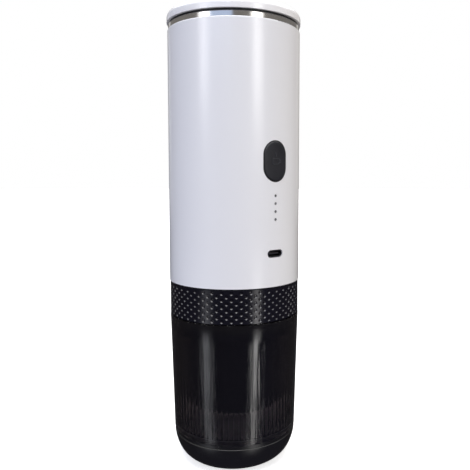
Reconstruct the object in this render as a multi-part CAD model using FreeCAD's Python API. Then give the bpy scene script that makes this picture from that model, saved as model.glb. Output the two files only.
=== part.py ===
import FreeCAD, Part
import math
import os
from FreeCAD import Vector

# Portable electric espresso maker, in millimetres. It stands on its cup with +Z up, the origin is the
# centre of its foot, and the power button, indicators and charging port face -Y.

# White tube. The radii of everything above and below it are set off from this one.
tube_r = 35.0
tube_height = 131.1
tube_wall = 2.0
tube_step = 0.8
tube_edge = 0.6

# Collar, the union nut that holds the brewing chamber on
shadow_gap = 0.2
collar_inset = 0.3
collar_height = 17.9
collar_chamfer = 0.4
collar_wall = 3.7
lip_height = 3.0
thread_clearance = 0.4
turning_gap = 0.3
seat_gap = 0.1

# Fluted cup
cup_proud = 0.1
cup_flare = 1.8
cup_height = 62.2
cup_wall = 2.2
cup_floor = 2.2
plain_band = 9.4
flute_count = 78
flute_depth = 0.6

# Shadow groove between cup and dish
cup_overhang = 0.1
groove_height = 1.9
groove_inset = 0.5

# Rounded dish under the cup: its side is three arcs, each with a radius and the degrees that it turns
dish_heel_r = 14.2
dish_heel_angle = 22.0
dish_side_r = 12.6
dish_side_angle = 39.0
dish_lip_r = 22.0
dish_lip_angle = 24.0
dish_wall = 2.0
foot_land = 4.6
foot_recess_depth = 0.6

# Brewing chamber, its funnel floor and the nozzle
flange_reach = 1.4
chamber_flange = 2.5
neck_step = 4.1
chamber_taper = 2.4
chamber_wall = 4.2
pour_gap = 8.9
chamber_floor = 3.0
funnel_height = 6.0
funnel_ledge = 0.8
ledge_height = 1.2
nozzle_r = 5.0
nozzle_flange = 2.5
nozzle_thick = 1.2
nozzle_drop = 0.8
nozzle_bore = 2.2

# Ring that the cup is pushed on to, and its grip
spigot_clearance = 0.4
spigot_lift = 0.4
spigot_plate = 2.3
spigot_wall = 2.2
grip_drop = 5.0
grip_height = 2.0
grip_depth = 0.8
grip_clearance = 0.08

# Coffee basket
basket_clearance = 0.4
basket_wall = 0.6
basket_depth = 28.0
basket_rim = 6.4
basket_hole_r = 1.0
basket_hole_inset = 11.6
basket_hole_count = 6

# Group: gasket, shower screen and the base that carries them
gasket_margin = 1.8
gasket_width = 5.3
gasket_thick = 2.3
screen_gap = 1.7
screen_thick = 0.6
screen_hole_r = 0.8
screen_hole_inset = 5.8
screen_hole_pitch = 7.0
screen_hole_count = 8
water_gap = 0.8
screen_screw_r = 1.5
screen_screw_head_r = 3.0
screen_screw_head = 1.2
screen_screw_length = 6.0
base_flange = 3.0
base_fit = 0.1

# Button
button_width = 13.4
button_length = 19.5
button_drop = 15.6
button_proud = 0.25
button_edge = 0.35
button_frame_inset = 0.15
button_play = 0.1
button_frame = 0.5
button_lip = 1.0
button_lip_gap = 0.3
button_lip_thick = 1.7
button_stem = 4.0

# Indicators
lamp_hole_r = 0.75
lamp_height = 33.8
lamp_pitch = 3.95
lamp_count = 4
lamp_play = 0.05
lamp_inset = 0.15
lamp_bar_width = 5.0
lamp_bar_thick = 3.2
lamp_bar_end = 2.0
led_width = 1.6
led_thick = 0.8

# Charging port
port_height = 16.7
port_width = 8.94
port_depth = 3.16
port_clearance = 0.36
port_shell = 0.3
port_inset = 0.6
port_tongue_width = 6.7
port_tongue_thick = 0.7
port_tongue_inset = 1.2
port_back = 1.5

# Control board and what is on it
board_width = 30.0
board_thick = 1.6
board_gap = 8.8
board_slot = 2.6
board_play = 0.3
switch_width = 6.0
switch_thick = 2.2
switch_floor = 0.3
plunger_r = 1.7
plunger_out = 0.9
plunger_play = 0.05
chip_width = 7.0
chip_thick = 1.0
chip_height = 26.0
coil_width = 6.0
coil_thick = 3.0
coil_height = 38.0
capacitor_r = 2.0
capacitor_length = 4.0
part_offset = 9.0

# Leads
lead_r = 0.8
lead_tail = 8.0
heater_lead_offset = 8.0

# Geared pump
gear_module = 0.5
pinion_teeth = 10
drive_teeth = 28
drive_width = 2.6
pump_module = 0.8
pump_teeth = 10
pump_gear_width = 3.7
pressure_angle = math.radians(25)
addendum = 0.9
dedendum = 1.15
backlash = 0.1
pump_gap = 0.8
pump_floor = 1.6
pump_clearance = 0.1
pump_lid = 1.5
pump_shaft_r = 1.5
bearing_play = 0.03
bearing_depth = 1.0
duct_r = 1.0
port_r = 1.3
port_offset = 3.4
valve_r = 2.6
valve_length = 5.0

# Motor
motor_r = 11.0
motor_length = 32.0
motor_shaft_r = 1.0
motor_boss_r = 3.0
motor_boss = 1.2
motor_play = 0.05
motor_terminal_x = 5.0
motor_terminal_y = 6.0
shaft_end = 0.8

# Cells, which fill the room between the motor and the frame's edge
motor_gap = 1.25
cell_margin = 1.85
cell_length = 65.0
cell_cap_r = 2.8
cell_cap = 0.8
cell_count = 3
first_cell_angle = 90.0
cell_play = 0.15
link_thick = 0.3
link_half_width = 2.0
link_tab = 4.0

# Frame that holds cells, motor and board
frame_play = 0.4
frame_plate = 4.0
frame_pocket = 2.0
frame_skirt = 2.2
gear_room = 3.3
boss_r = 3.0
boss_gap = 0.4
screw_r = 1.25
standoff_r = 2.2
standoff_gap = 7.2

# Water tank and heater
rim_inset = 0.4
tank_rim = 2.6
tank_rim_chamfer = 0.35
tank_gap = 3.6
tank_wall = 0.8
tank_corner = 3.0
heater_margin = 2.6
heater_thick = 3.0
heater_gap = 1.8
heater_foot_r = 1.5
heater_foot_inset = 4.0
sensor_r = 0.9
sensor_length = 8.0
sensor_offset = 8.0
shield_thick = 1.2
tie_rod_r = 1.3
tie_rod_depth = 3.0
hose_outer_r = 3.0
hose_inner_r = 1.9
hose_inset = 3.0
hose_play = 0.3
nipple_length = 5.0

# Lid
cap_overhang = 0.35
cap_height = 5.5
cap_rounding = 3.2
cap_wall = 2.3
cap_top = 2.2
seal_thick = 1.1
seal_outer_margin = 0.7
seal_inner_margin = 0.9
plug_play = 0.05
plug_clearance = 0.4
plug_wall = 2.0
plug_depth = 7.0

# Radii that follow, from the tube inwards
tube_bore = tube_r - tube_wall
tube_seat_r = tube_bore + tube_step
frame_r = tube_bore - frame_play
cell_r = (frame_r - cell_margin - motor_r - motor_gap) / 2
cell_circle_r = motor_r + motor_gap + cell_r
hose_circle_r = cell_circle_r - hose_inset
boss_circle_r = frame_r - frame_skirt - boss_gap - boss_r
pump_r = boss_circle_r - boss_r - pump_gap
board_back = tube_bore - board_gap
board_front = board_back + board_thick
standoff_front = board_back - standoff_gap
tank_rim_r = tube_r - rim_inset
tank_r = tube_bore - tank_gap - tank_wall
rod_circle_r = tube_bore - tank_gap / 2
heater_r = tank_r - heater_margin
heater_foot_circle_r = heater_r - heater_foot_inset
cap_r = tube_r + cap_overhang
collar_r = tube_r - collar_inset
collar_bore = collar_r - collar_wall
thread_r = collar_bore - thread_clearance
flange_r = collar_bore - turning_gap
chamber_neck_r = flange_r - flange_reach
chamber_top_r = chamber_neck_r - neck_step
chamber_bottom_r = chamber_top_r - chamber_taper
chamber_bore = chamber_top_r - chamber_wall
basket_r = chamber_bore - basket_clearance
basket_hole_circle_r = basket_r - basket_hole_inset
gasket_outer_r = thread_r - gasket_margin
gasket_inner_r = gasket_outer_r - gasket_width
screen_r = gasket_inner_r - screen_gap
screen_hole_circle_r = screen_r - screen_hole_inset
cup_rim_r = collar_r + cup_proud
cup_bottom_r = cup_rim_r - cup_flare
dish_rim_r = cup_bottom_r - cup_overhang
dish_neck_r = cup_bottom_r - groove_inset
dish_arcs = ((dish_heel_r, dish_heel_angle), (dish_side_r, dish_side_angle), (dish_lip_r, dish_lip_angle))


def dish_points(foot_r, inset, steps):
    """Points (radius, height) up the dish's rounded side, moved inwards, with each arc cut in steps."""
    radius, height, heading = foot_r, 0.0, 0.0
    points = [(radius, inset)]
    for arc_r, turn in dish_arcs:
        for _ in range(steps):
            centre_r = radius - arc_r * math.sin(heading)
            centre_height = height + arc_r * math.cos(heading)
            heading += math.radians(turn / steps)
            radius = centre_r + arc_r * math.sin(heading)
            height = centre_height - arc_r * math.cos(heading)
            points.append((radius - inset * math.sin(heading), height + inset * math.cos(heading)))
    return points


dish_reach, dish_height = dish_points(0, 0, 1)[-1]
foot_r = dish_rim_r - dish_reach

# Heights that follow, from the table up
cup_bottom = dish_height + groove_height
cup_top = cup_bottom + cup_height
floor_top = cup_bottom + cup_floor
flute_top = cup_top - plain_band
collar_bottom = cup_top + shadow_gap
collar_top = collar_bottom + collar_height
lip_top = collar_bottom + lip_height
flange_bottom = lip_top + seat_gap
flange_top = flange_bottom + chamber_flange
chamber_bottom = floor_top + pour_gap
chamber_inside = chamber_bottom + chamber_floor
spigot_bottom = flute_top + spigot_lift
grip_top = cup_top - grip_drop
grip_bottom = grip_top - grip_height
basket_top = flange_top + basket_wall
basket_bottom = basket_top - basket_depth
base_bottom = basket_top + seat_gap + gasket_thick
tube_bottom = collar_top + shadow_gap
tube_top = tube_bottom + tube_height
base_top = tube_bottom + base_flange
pump_inside = base_top + pump_floor
pump_top = pump_inside + pump_gear_width + 2 * pump_clearance
cover_top = pump_top + pump_lid
drive_bottom = cover_top + (gear_room - drive_width) / 2
frame_bottom = cover_top + gear_room
cell_bottom = frame_bottom + frame_plate - frame_pocket
cell_top = cell_bottom + cell_length
motor_top = cell_bottom + motor_length
upper_bottom = cell_top - frame_pocket
upper_top = upper_bottom + frame_plate
shield_top = upper_top + shield_thick
heater_bottom = shield_top + heater_gap
tank_bottom = heater_bottom + heater_thick
tank_inside = tank_bottom + tank_wall
rim_top = tube_top + tank_rim
cap_bottom = rim_top + seal_thick
cap_top_z = cap_bottom + cap_height
button_middle = upper_bottom - button_drop
port_middle = tube_bottom + port_height
lamp_heights = [tube_bottom + lamp_height + i * lamp_pitch for i in range(lamp_count)]


def polar(radius, degrees, height=0.0):
    """Point at a radius and an angle round the Z axis."""
    angle = math.radians(degrees)
    return Vector(radius * math.cos(angle), radius * math.sin(angle), height)


# Places in plan that follow. The cells stand round the motor, and the hose and standoffs between them.
cell_angles = [first_cell_angle + 360 * i / cell_count for i in range(cell_count)]
gap_angles = [angle + 180 / cell_count for angle in cell_angles]
hose_angle, front_angle = gap_angles[:2]
hose_place = polar(hose_circle_r, hose_angle)
screw_places = [polar(boss_circle_r, angle) for angle in cell_angles]
rod_places = [polar(rod_circle_r, angle) for angle in gap_angles]
standoff_places = [polar(standoff_front if angle == front_angle else boss_circle_r, angle)
                   for angle in gap_angles]
drive_x = gear_module * (pinion_teeth + drive_teeth) / 2
idler_y = pump_module * pump_teeth
shaft_places = [Vector(drive_x, 0), Vector(drive_x, idler_y)]
pump_inlet = Vector(drive_x - port_offset, idler_y / 2)
pump_outlet = Vector(drive_x + port_offset, idler_y / 2)


def turned(*corners):
    """Solid turned about the Z axis from the corners (radius, height) of its half section."""
    points = [Vector(radius, 0, height) for radius, height in corners]
    section = Part.Face(Part.makePolygon(points + points[:1]))
    return section.revolve(Vector(), Vector(0, 0, 1), 360)


def disc(radius, low, high, place=Vector()):
    """Upright round bar from one height to another."""
    return Part.makeCylinder(radius, high - low, Vector(place.x, place.y, low))


def ring(inner_r, outer_r, low, high):
    """Flat ring with square edges."""
    return turned((inner_r, low), (outer_r, low), (outer_r, high), (inner_r, high))


def block(width, front, back, low, high, middle=0.0):
    """Box across the front of the maker, between two distances from its axis."""
    return Part.makeBox(width, back - front, high - low, Vector(middle - width / 2, -back, low))


def radial_bar(radius, front, back, height, across=0.0):
    """Round bar along Y, between two distances from the axis, on the front."""
    return Part.makeCylinder(radius, back - front, Vector(across, -back, height), Vector(0, 1, 0))


def slot_bar(width, length, front, back, middle):
    """Upright bar with round ends, width across and length tall, lying along Y."""
    reach = (length - width) / 2
    ends = [radial_bar(width / 2, front, back, middle + side * reach) for side in (-1, 1)]
    return block(width, front, back, middle - reach, middle + reach).multiFuse(ends).removeSplitter()


def lying(bar, height):
    """The same bar turned a quarter about its own length, so that it lies on its side."""
    bar.rotate(Vector(0, 0, height), Vector(0, 1, 0), 90)
    return bar


def cup_outer_r(height):
    """Outer radius of the drafted cup wall at a height."""
    return cup_bottom_r + (cup_rim_r - cup_bottom_r) * (height - cup_bottom) / cup_height


def chamber_outer_r(height):
    """Outer radius of the tapered brewing chamber at a height below the cup's rim."""
    share = (height - chamber_bottom) / (cup_top - chamber_bottom)
    return chamber_bottom_r + (chamber_top_r - chamber_bottom_r) * share


def make_cup_base():
    points = [Vector(radius, 0, height) for radius, height in dish_points(foot_r, 0, 2)]
    side = [Part.Arc(*points[i:i + 3]).toShape() for i in range(0, 2 * len(dish_arcs), 2)]
    corners = [points[-1], Vector(dish_neck_r, 0, dish_height), Vector(dish_neck_r, 0, cup_bottom),
               Vector(0, 0, cup_bottom), Vector(), points[0]]
    outline = Part.Wire(side + Part.makePolygon(corners).Edges)
    outside = Part.Face(outline).revolve(Vector(), Vector(0, 0, 1), 360)
    neck_bore = dish_neck_r - dish_wall
    hollow = [point for point in dish_points(foot_r, dish_wall, 1) if point[0] < neck_bore]
    hollow += [(neck_bore, dish_height), (neck_bore, cup_bottom)]
    inside = turned((0, dish_wall), *hollow, (0, cup_bottom))
    return outside.cut(inside).cut(disc(foot_r - foot_land, 0, foot_recess_depth))


def fluted_polygon(height):
    """Zigzag outline of the fluted wall's inside at a height."""
    valley_r = cup_outer_r(height) - cup_wall
    step = 180 / flute_count
    corners = [polar(valley_r - flute_depth * (i % 2), i * step, height) for i in range(2 * flute_count)]
    return Part.makePolygon(corners + corners[:1])


def make_cup():
    outside = turned((0, cup_bottom), (cup_bottom_r, cup_bottom), (cup_rim_r, cup_top), (0, cup_top))
    fluted = Part.makeLoft([fluted_polygon(floor_top), fluted_polygon(flute_top)], True, True)
    mouth = turned((0, flute_top), (cup_outer_r(flute_top) - cup_wall, flute_top),
                   (cup_rim_r - cup_wall, cup_top), (0, cup_top))
    return outside.cut(fluted).cut(mouth)


def make_brew_collar():
    edge = collar_chamfer
    return turned(
        (chamber_neck_r + turning_gap, collar_bottom),
        (collar_r - edge, collar_bottom),
        (collar_r, collar_bottom + edge),
        (collar_r, collar_top - edge),
        (collar_r - edge, collar_top),
        (collar_bore, collar_top),
        (collar_bore, lip_top),
        (chamber_neck_r + turning_gap, lip_top),
    )


def make_brew_chamber():
    return turned(
        (chamber_bore - funnel_ledge, chamber_bottom),
        (chamber_bottom_r, chamber_bottom),
        (chamber_top_r, cup_top),
        (chamber_neck_r, cup_top),
        (chamber_neck_r, flange_bottom),
        (flange_r, flange_bottom),
        (flange_r, flange_top),
        (chamber_bore, flange_top),
        (chamber_bore, chamber_bottom + ledge_height),
        (chamber_bore - funnel_ledge, chamber_bottom + ledge_height),
    )


def make_chamber_funnel():
    return turned(
        (nozzle_r, chamber_bottom),
        (chamber_bore - funnel_ledge, chamber_bottom),
        (chamber_bore - funnel_ledge, chamber_bottom + ledge_height),
        (chamber_bore, chamber_bottom + ledge_height),
        (chamber_bore, chamber_inside + funnel_height),
        (nozzle_r + nozzle_flange, chamber_inside),
        (nozzle_r, chamber_inside),
    )


def make_outlet_nozzle():
    return turned(
        (nozzle_bore, chamber_bottom - nozzle_drop),
        (nozzle_r, chamber_bottom - nozzle_drop),
        (nozzle_r, chamber_inside),
        (nozzle_r + nozzle_flange, chamber_inside),
        (nozzle_r + nozzle_flange, chamber_inside + nozzle_thick),
        (nozzle_bore, chamber_inside + nozzle_thick),
    )


spigot_r = cup_outer_r(spigot_bottom) - cup_wall - spigot_clearance
grip_inner_r = spigot_r - grip_depth


def make_cup_spigot():
    plate_bottom = cup_top - spigot_plate
    return turned(
        (chamber_outer_r(plate_bottom), plate_bottom),
        (spigot_r - spigot_wall, plate_bottom),
        (spigot_r - spigot_wall, spigot_bottom),
        (spigot_r, spigot_bottom),
        (spigot_r, grip_bottom),
        (grip_inner_r, grip_bottom),
        (grip_inner_r, grip_top),
        (spigot_r, grip_top),
        (spigot_r, cup_top),
        (chamber_top_r, cup_top),
    )


def make_cup_grip_ring():
    grip_outer_r = cup_outer_r(grip_bottom) - cup_wall - grip_clearance
    return ring(grip_inner_r, grip_outer_r, grip_bottom, grip_top)


def make_coffee_basket():
    inner_r = basket_r - basket_wall
    shell = turned(
        (0, basket_bottom),
        (basket_r, basket_bottom),
        (basket_r, flange_top),
        (basket_r + basket_rim, flange_top),
        (basket_r + basket_rim, basket_top),
        (inner_r, basket_top),
        (inner_r, basket_bottom + basket_wall),
        (0, basket_bottom + basket_wall),
    )
    angles = [360 * i / basket_hole_count for i in range(basket_hole_count)]
    centres = [Vector()] + [polar(basket_hole_circle_r, angle) for angle in angles]
    holes = [disc(basket_hole_r, basket_bottom, basket_bottom + basket_wall, centre) for centre in centres]
    return shell.cut(Part.makeCompound(holes))


def make_group_gasket():
    return ring(gasket_inner_r, gasket_outer_r, base_bottom - gasket_thick, base_bottom)


def make_shower_screen():
    plate = disc(screen_r, base_bottom, base_bottom + screen_thick)
    holes = [disc(screen_screw_r, base_bottom, base_bottom + screen_thick)]
    for circle_r in (screen_hole_circle_r - screen_hole_pitch, screen_hole_circle_r):
        places = [polar(circle_r, 360 * i / screen_hole_count) for i in range(screen_hole_count)]
        holes += [disc(screen_hole_r, base_bottom, base_bottom + screen_thick, place) for place in places]
    return plate.cut(Part.makeCompound(holes))


def make_screen_screw():
    head = disc(screen_screw_head_r, base_bottom - screen_screw_head, base_bottom)
    return head.fuse(disc(screen_screw_r, base_bottom, base_bottom + screen_screw_length))


def make_brew_base():
    water_top = base_bottom + screen_thick + water_gap
    body = turned(
        (0, water_top),
        (screen_r, water_top),
        (screen_r, base_bottom),
        (thread_r, base_bottom),
        (thread_r, tube_bottom),
        (tube_seat_r - base_fit, tube_bottom),
        (tube_seat_r - base_fit, base_top),
        (0, base_top),
    )
    holes = [disc(screw_r, base_bottom, base_top, place) for place in screw_places]
    holes.append(disc(screen_screw_r, water_top, base_bottom + screen_screw_length))
    holes.append(disc(port_r, water_top, base_top, pump_outlet))
    valve_seat = disc(valve_r, base_top - valve_length, base_top, pump_outlet)
    return body.cut(Part.makeCompound(holes)).cut(valve_seat)


def make_outlet_valve():
    body = disc(valve_r, base_top - valve_length, base_top, pump_outlet)
    return body.cut(disc(port_r, base_top - valve_length, base_top, pump_outlet))


def make_base_screws():
    screws = [disc(screw_r, base_bottom, frame_bottom + frame_pocket / 2, place) for place in screw_places]
    return Part.makeCompound(screws)


def involute(angle):
    return math.tan(angle) - angle


def gear(teeth, module, width, bore_r, tooth_angle):
    """Involute spur gear on the Z axis, with one tooth centred on an angle, thinned by the backlash."""
    pitch_r = teeth * module / 2
    base_r = pitch_r * math.cos(pressure_angle)
    root_r = pitch_r - dedendum * module
    tip_r = pitch_r + addendum * module
    thick = math.pi / (2 * teeth) - backlash / (2 * pitch_r) + involute(pressure_angle)
    start_r = max(root_r, base_r)
    flank = [(r, thick - involute(math.acos(base_r / r))) for r in (start_r, pitch_r, tip_r)]
    if root_r < base_r:
        flank.insert(0, (root_r, flank[0][1]))
    corners = []
    for i in range(teeth):
        middle = tooth_angle + 360 * i / teeth
        corners += [polar(r, middle - math.degrees(half)) for r, half in flank]
        corners += [polar(r, middle + math.degrees(half)) for r, half in reversed(flank)]
    blank = Part.Face(Part.makePolygon(corners + corners[:1])).extrude(Vector(0, 0, width))
    return blank.cut(disc(bore_r, 0, width))


def moved(shape, place):
    shape.translate(place)
    return shape


# From the drive gear's shaft, the motor lies towards -X and the idler towards +Y
motor_angle = 180
idler_angle = 90
drive_place = Vector(drive_x, 0, drive_bottom)
pump_gear_bottom = pump_inside + pump_clearance
shaft_bottom = pump_inside - bearing_depth


def make_motor_pinion():
    return moved(gear(pinion_teeth, gear_module, drive_width, motor_shaft_r, 0), Vector(0, 0, drive_bottom))


def make_drive_gear():
    facing = motor_angle + 180 / drive_teeth
    return moved(gear(drive_teeth, gear_module, drive_width, pump_shaft_r, facing), drive_place)


def make_pump_gear_driving():
    solid = gear(pump_teeth, pump_module, pump_gear_width, pump_shaft_r, idler_angle)
    return moved(solid, Vector(drive_x, 0, pump_gear_bottom))


def make_pump_gear_driven():
    facing = idler_angle + 180 + 180 / pump_teeth
    solid = gear(pump_teeth, pump_module, pump_gear_width, pump_shaft_r, facing)
    return moved(solid, Vector(drive_x, idler_y, pump_gear_bottom))


def make_pump_shaft():
    return disc(pump_shaft_r, shaft_bottom, drive_bottom + drive_width, Vector(drive_x, 0))


def make_idler_shaft():
    return disc(pump_shaft_r, shaft_bottom, pump_top + bearing_depth, Vector(drive_x, idler_y))


def make_motor_shaft():
    return disc(motor_shaft_r, drive_bottom, motor_top + motor_boss + shaft_end)


def make_motor_can():
    can = disc(motor_r, cell_bottom, motor_top)
    boss = disc(motor_boss_r, motor_top, motor_top + motor_boss)
    bore = disc(motor_shaft_r + bearing_play, cell_bottom, motor_top + motor_boss)
    return can.fuse(boss).cut(bore)


pump_bore_r = pump_module * (pump_teeth / 2 + addendum) + pump_clearance
bearing_r = pump_shaft_r + bearing_play


def make_pump_body():
    body = disc(pump_r, base_top, pump_top)
    for place in shaft_places:
        body = body.cut(disc(pump_bore_r, pump_inside, pump_top, place))
        body = body.cut(disc(bearing_r, shaft_bottom, pump_inside, place))
    body = body.cut(disc(port_r, base_top, pump_top, pump_outlet))
    duct_height = (pump_inside + pump_top) / 2
    start = Vector(hose_place.x, hose_place.y, duct_height)
    end = Vector(pump_inlet.x, pump_inlet.y, duct_height)
    duct = Part.makeCylinder(duct_r, (end - start).Length, start, end - start)
    return body.cut(duct).cut(disc(duct_r, duct_height, pump_top, hose_place))


def make_pump_cover():
    plate = disc(pump_r, pump_top, cover_top)
    nipple = disc(hose_inner_r, cover_top, cover_top + nipple_length, hose_place)
    cover = plate.fuse(nipple).cut(disc(duct_r, pump_top, cover_top + nipple_length, hose_place))
    cover = cover.cut(disc(bearing_r, pump_top, cover_top, shaft_places[0]))
    return cover.cut(disc(bearing_r, pump_top, pump_top + bearing_depth + bearing_play, shaft_places[1]))


def make_feed_tube():
    tube = disc(hose_outer_r, cover_top, tank_bottom, hose_place)
    return tube.cut(disc(hose_inner_r, cover_top, tank_bottom, hose_place))


def link_plate(low, high):
    """Open ring of nickel strip that joins the cells, leaves the hose free and has a tab to the board."""
    plate = ring(cell_circle_r - link_half_width, cell_circle_r + link_half_width, low, high)
    plate = plate.fuse(block(link_tab, cell_circle_r, board_back, low, high))
    gap = 2 * (hose_outer_r + hose_play + link_half_width)
    opening = Part.makeBox(cell_circle_r * 2, gap, high - low, Vector(0, -gap / 2, low))
    opening.rotate(Vector(), Vector(0, 0, 1), hose_angle)
    return plate.cut(opening)


def make_cell_links():
    return Part.makeCompound([
        link_plate(cell_bottom - link_thick, cell_bottom),
        link_plate(cell_top, cell_top + link_thick),
    ])


def make_battery_cell(angle):
    place = polar(cell_circle_r, angle)
    can = disc(cell_r, cell_bottom, cell_top - cell_cap, place)
    return can.fuse(disc(cell_cap_r, cell_top - cell_cap, cell_top, place))


def cell_pockets(low, high):
    return [disc(cell_r + cell_play, low, high, polar(cell_circle_r, angle)) for angle in cell_angles]


def hose_hole(low, high):
    return disc(hose_outer_r + hose_play, low, high, hose_place)


def lead_bar(low, high, side):
    """Upright lead against the back of the control board."""
    return disc(lead_r, low, high, Vector(side * heater_lead_offset, lead_r - board_back))


def make_lower_frame():
    top = frame_bottom + frame_plate
    frame = turned(
        (0, frame_bottom),
        (frame_r - frame_skirt, frame_bottom),
        (frame_r - frame_skirt, base_top),
        (frame_r, base_top),
        (frame_r, top),
        (0, top),
    )
    bosses = [disc(boss_r, base_top, frame_bottom, place) for place in screw_places]
    frame = frame.multiFuse(bosses)
    frame = frame.cut(Part.makeCompound(cell_pockets(cell_bottom, top)))
    frame = frame.cut(disc(motor_r + motor_play, cell_bottom, top))
    frame = frame.cut(link_plate(cell_bottom - link_thick, cell_bottom))
    frame = frame.cut(disc(motor_boss_r, frame_bottom, cell_bottom))
    frame = frame.cut(hose_hole(frame_bottom, top))
    screw_top = frame_bottom + frame_pocket / 2
    frame = frame.cut(Part.makeCompound([disc(screw_r, base_top, screw_top, p) for p in screw_places]))
    notch = block(board_width + 2 * board_play, board_back - board_play, tube_r, base_top, top)
    return frame.cut(notch)


def make_upper_frame():
    frame = disc(frame_r, upper_bottom, upper_top)
    frame = frame.cut(Part.makeCompound(cell_pockets(upper_bottom, cell_top)))
    frame = frame.cut(link_plate(cell_top, cell_top + link_thick)).cut(hose_hole(upper_bottom, upper_top))
    holes = [disc(tie_rod_r, upper_top - tie_rod_depth, upper_top, place) for place in rod_places]
    holes += [lead_bar(upper_bottom, upper_top, side) for side in (-1, 1)]
    frame = frame.cut(Part.makeCompound(holes))
    slot = block(board_width, board_back, board_front, upper_bottom, upper_bottom + board_slot)
    return frame.cut(slot)


def make_frame_standoffs():
    low = frame_bottom + frame_plate
    return Part.makeCompound([disc(standoff_r, low, upper_bottom, place) for place in standoff_places])


def make_heat_shield():
    plate = disc(frame_r, upper_top, shield_top).cut(hose_hole(upper_top, shield_top))
    holes = [disc(tie_rod_r, upper_top, shield_top, place) for place in rod_places]
    holes += [lead_bar(upper_top, shield_top, side) for side in (-1, 1)]
    return plate.cut(Part.makeCompound(holes))


def make_tie_rods():
    low = upper_top - tie_rod_depth
    return Part.makeCompound([disc(tie_rod_r, low, tube_top, place) for place in rod_places])


def make_heater_plate():
    plate = disc(heater_r, heater_bottom, tank_bottom)
    feet = [disc(heater_foot_r, shield_top, heater_bottom, polar(heater_foot_circle_r, angle))
            for angle in cell_angles]
    return plate.multiFuse(feet).cut(hose_hole(heater_bottom, tank_bottom))


def under_heater(side):
    """Small cylinder that lies against the heater's underside."""
    start = Vector(-sensor_length / 2, side * sensor_offset, heater_bottom - sensor_r)
    return Part.makeCylinder(sensor_r, sensor_length, start, Vector(1, 0, 0))


def make_water_tank():
    edge = tank_rim_chamfer
    vessel_r = tank_r + tank_wall
    return turned(
        (tank_r - tank_corner, tank_bottom),
        (vessel_r - tank_corner, tank_bottom),
        (vessel_r, tank_bottom + tank_corner),
        (vessel_r, tube_top),
        (tank_rim_r, tube_top),
        (tank_rim_r, rim_top - edge),
        (tank_rim_r - edge, rim_top),
        (tank_r, rim_top),
        (tank_r, tank_inside + tank_corner),
        (tank_r - tank_corner, tank_inside),
    )


def make_tank_floor():
    floor = disc(tank_r - tank_corner, tank_bottom, tank_inside)
    nipple = disc(hose_inner_r, tank_bottom - nipple_length, tank_bottom, hose_place)
    drain = disc(duct_r, tank_bottom - nipple_length, tank_inside, hose_place)
    return floor.fuse(nipple).cut(drain)


button_lip_r = tube_bore - button_lip_gap
button_back = button_lip_r - button_lip_thick
match_tolerance = 1e-4


def circle_edges(solid, radius, height):
    """The solid's round edges of one radius at one height."""
    def near(value, wanted):
        return math.isclose(value, wanted, rel_tol=0, abs_tol=match_tolerance)

    boxes = [(edge, edge.BoundBox) for edge in solid.Edges]
    return [edge for edge, box in boxes
            if near(box.ZMin, height) and near(box.ZMax, height) and near(box.XMax, radius)]


def make_housing_tube():
    tube = turned(
        (tube_seat_r, tube_bottom),
        (tube_r, tube_bottom),
        (tube_r, tube_top),
        (tube_bore, tube_top),
        (tube_bore, base_top),
        (tube_seat_r, base_top),
    )
    tube = tube.makeFillet(tube_edge, circle_edges(tube, tube_r, tube_top))
    near = board_front
    far = tube_r + tube_wall
    frame_gap = 2 * (button_play + button_frame)
    tube = tube.cut(slot_bar(button_width + frame_gap, button_length + frame_gap, near, far, button_middle))
    gap = 2 * port_clearance
    tube = tube.cut(lying(slot_bar(port_depth + gap, port_width + gap, near, far, port_middle), port_middle))
    lamps = [radial_bar(lamp_hole_r, near, far, height) for height in lamp_heights]
    return tube.cut(Part.makeCompound(lamps))


def button_bar(margin, reach):
    """The button's outline, wider all round by a margin, up to a face that is round about the Z axis."""
    far = tube_r + tube_wall
    bar = slot_bar(button_width + 2 * margin, button_length + 2 * margin, button_back, far, button_middle)
    return bar.common(disc(reach, tube_bottom, tube_top))


def make_button_seal():
    face_r = tube_r - button_frame_inset
    seal = button_bar(button_play + button_frame, face_r).cut(button_bar(button_play, tube_r))
    return seal.cut(disc(tube_bore, tube_bottom, tube_top))


def make_power_button():
    face_r = tube_r + button_proud
    cap = button_bar(0, face_r)
    face = max(cap.Faces, key=lambda side: -side.CenterOfMass.y)
    cap = cap.makeFillet(button_edge, face.Edges)
    button = cap.fuse(button_bar(button_lip, button_lip_r))
    stem = radial_bar(button_stem / 2, board_front + switch_thick + plunger_out, button_back, button_middle)
    return button.fuse(stem)


def make_switch_case():
    case = block(switch_width, board_front, board_front + switch_thick,
                 button_middle - switch_width / 2, button_middle + switch_width / 2)
    hole_r = plunger_r + plunger_play
    return case.cut(radial_bar(hole_r, board_front + switch_floor, board_front + switch_thick, button_middle))


def make_switch_plunger():
    front = board_front + switch_thick
    return radial_bar(plunger_r, front - plunger_out, front + plunger_out, button_middle)


def make_light_pipe():
    back = board_front + led_thick + lamp_play
    front = back + lamp_bar_thick
    bar = block(lamp_bar_width, back, front, lamp_heights[0] - lamp_bar_end, lamp_heights[-1] + lamp_bar_end)
    pin_r = lamp_hole_r - lamp_play
    return bar.multiFuse([radial_bar(pin_r, front, tube_r - lamp_inset, height) for height in lamp_heights])


def make_indicator_leds():
    half = led_width / 2
    front = board_front + led_thick
    return Part.makeCompound([block(led_width, board_front, front, height - half, height + half)
                              for height in lamp_heights])


def make_usb_socket():
    face = tube_r - port_inset
    back = face - port_back
    shell = slot_bar(port_depth, port_width, board_front, face, port_middle)
    hollow = slot_bar(port_depth - 2 * port_shell, port_width - 2 * port_shell,
                      board_front + port_back, face, port_middle)
    half = port_tongue_thick / 2
    socket = lying(shell.cut(hollow), port_middle)
    tongue = block(port_tongue_width, board_front + port_back, face - port_tongue_inset,
                   port_middle - half, port_middle + half)
    return socket.fuse(tongue)


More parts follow.
